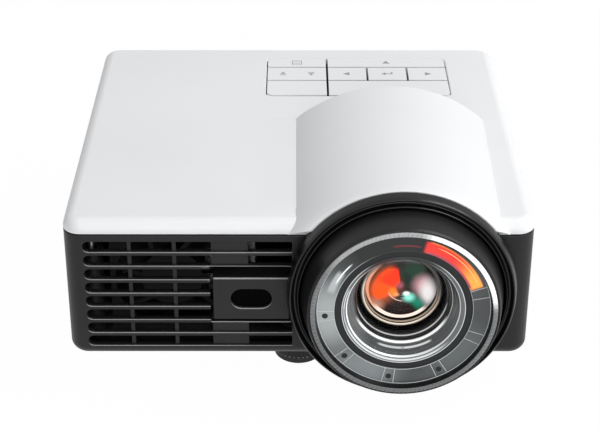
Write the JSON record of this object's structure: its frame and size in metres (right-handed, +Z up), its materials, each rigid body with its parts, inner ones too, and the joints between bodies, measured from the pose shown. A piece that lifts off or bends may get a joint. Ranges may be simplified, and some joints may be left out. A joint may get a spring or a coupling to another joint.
{
  "type": "compact short-throw projector",
  "caption": "Small box-shaped short-throw projector: white top with a hump over a large offset lens, charcoal case with a front grille, keypad, tilt foot and rear sockets.",
  "frame": {"origin": "centre of the bounding box's footprint, on the table that the feet stand on", "axes": "+Z up, -Y is the lens side (the lens looks along -Y), +X is to the right as seen from the front"},
  "size_m": [0.112, 0.118, 0.0573],
  "materials": {
    "cover": "satin moulded",
    "case": "fine spark texture",
    "steel": "plated",
    "window": "polished",
    "board": "solder mask",
    "lens_black": "satin",
    "rim": "fine turned",
    "lens_glass": "polished, coated",
    "cell": "satin",
    "gear": "natural",
    "foot": "satin",
    "rubber": "matt",
    "brass": "turned",
    "alloy": "extruded",
    "copper": "drawn copper"
  },
  "bodies": {
    "housing": {"top_cover": "cover", "bottom_case": "case", "front_panel": "case", "rear_panel": "case", "case_screws": "steel", "sensor_block": "case", "sensor_window": "window", "sensor_board": "board", "lens_collar": "lens_black", "lens_barrel": "lens_black", "lens_rim": "rim", "front_lens": "lens_glass", "lens_spacer": "lens_black", "lens_tube": "lens_black", "rear_lens": "lens_glass", "focus_motor": "steel", "focus_bracket": "steel", "key_board": "board", "key_switches": "lens_black", "key_tray": "case", "foot_bush": "brass", "rear_soles": "rubber", "tripod_insert": "brass", "main_board": "board", "board_chips": "lens_black", "power_socket": "lens_black", "video_socket": "steel", "display_socket": "steel", "data_socket": "steel", "card_socket": "steel", "sound_socket": "lens_black", "engine_housing": "lens_black", "mirror_chip_board": "board", "chip_heat_sink": "alloy", "led_modules": "board", "heat_pipes": "copper", "heat_sink": "alloy", "fan_frame": "lens_black", "speaker": "lens_black"},
    "menu_key_body": {"menu_key": "cover"},
    "keystone_rocker_body": {"keystone_rocker": "cover"},
    "source_key_body": {"source_key": "cover"},
    "up_key_body": {"up_key": "cover"},
    "left_key_body": {"left_key": "cover"},
    "enter_key_body": {"enter_key": "cover"},
    "right_key_body": {"right_key": "cover"},
    "down_key_body": {"down_key": "cover"},
    "foot_base": {"foot_sole": "rubber"},
    "foot_wheel": {"foot_screw": "foot"},
    "rotor": {"fan_rotor": "lens_black"},
    "ring_gear": {"focus_gear": "gear"},
    "pinion": {"focus_pinion": "gear"},
    "focus_group": {"focus_cell": "cell", "inner_lens": "lens_glass"}
  },
  "joints": [
    {"name": "menu_key_press", "type": "slide", "parent": "housing", "child": "menu_key_body", "axis": [0, 0, -1], "range_m": [0, 0.0005], "stiffness_N_per_m": 800},
    {"name": "source_key_press", "type": "slide", "parent": "housing", "child": "source_key_body", "axis": [0, 0, -1], "range_m": [0, 0.0005], "stiffness_N_per_m": 800},
    {"name": "up_key_press", "type": "slide", "parent": "housing", "child": "up_key_body", "axis": [0, 0, -1], "range_m": [0, 0.0005], "stiffness_N_per_m": 800},
    {"name": "left_key_press", "type": "slide", "parent": "housing", "child": "left_key_body", "axis": [0, 0, -1], "range_m": [0, 0.0005], "stiffness_N_per_m": 800},
    {"name": "enter_key_press", "type": "slide", "parent": "housing", "child": "enter_key_body", "axis": [0, 0, -1], "range_m": [0, 0.0005], "stiffness_N_per_m": 800},
    {"name": "right_key_press", "type": "slide", "parent": "housing", "child": "right_key_body", "axis": [0, 0, -1], "range_m": [0, 0.0005], "stiffness_N_per_m": 800},
    {"name": "down_key_press", "type": "slide", "parent": "housing", "child": "down_key_body", "axis": [0, 0, -1], "range_m": [0, 0.0005], "stiffness_N_per_m": 800},
    {"name": "keystone_tilt", "type": "hinge", "parent": "housing", "child": "keystone_rocker_body", "pos_m": [-0.0004, 0.03955, 0.0439], "axis": [0, 1, 0], "range_deg": [-2, 2], "stiffness_Nm_per_rad": 0.15},
    {"name": "foot_extend", "type": "slide", "parent": "housing", "child": "foot_base", "axis": [0, 0, -1], "range_m": [0, 0.005]},
    {"name": "foot_turn", "type": "hinge", "parent": "foot_base", "child": "foot_wheel", "pos_m": [0, -0.0295, 0.0035], "axis": [0, 0, 1], "range_deg": [0, 1440]},
    {"name": "fan_spin", "type": "hinge", "parent": "housing", "child": "rotor", "pos_m": [-0.031, -0.0325, 0.0265], "axis": [0, 1, 0], "continuous": true},
    {"name": "focus_turn", "type": "hinge", "parent": "housing", "child": "ring_gear", "pos_m": [0.0245, -0.0368, 0.0294], "axis": [0, 1, 0], "range_deg": [0, 90]},
    {"name": "pinion_turn", "type": "hinge", "parent": "housing", "child": "pinion", "pos_m": [0.0065, -0.0368, 0.0294], "axis": [0, 1, 0], "range_deg": [-450, 0]},
    {"name": "focus_shift", "type": "slide", "parent": "housing", "child": "focus_group", "axis": [0, 1, 0], "range_m": [0, 0.0015]}
  ],
  "couplings": [
    {"joint": "focus_turn", "follows": "focus_shift", "rad_per_m": 1047.2},
    {"joint": "pinion_turn", "follows": "focus_shift", "rad_per_m": -5236},
    {"joint": "foot_turn", "follows": "foot_extend", "rad_per_m": 5026.5}
  ]
}
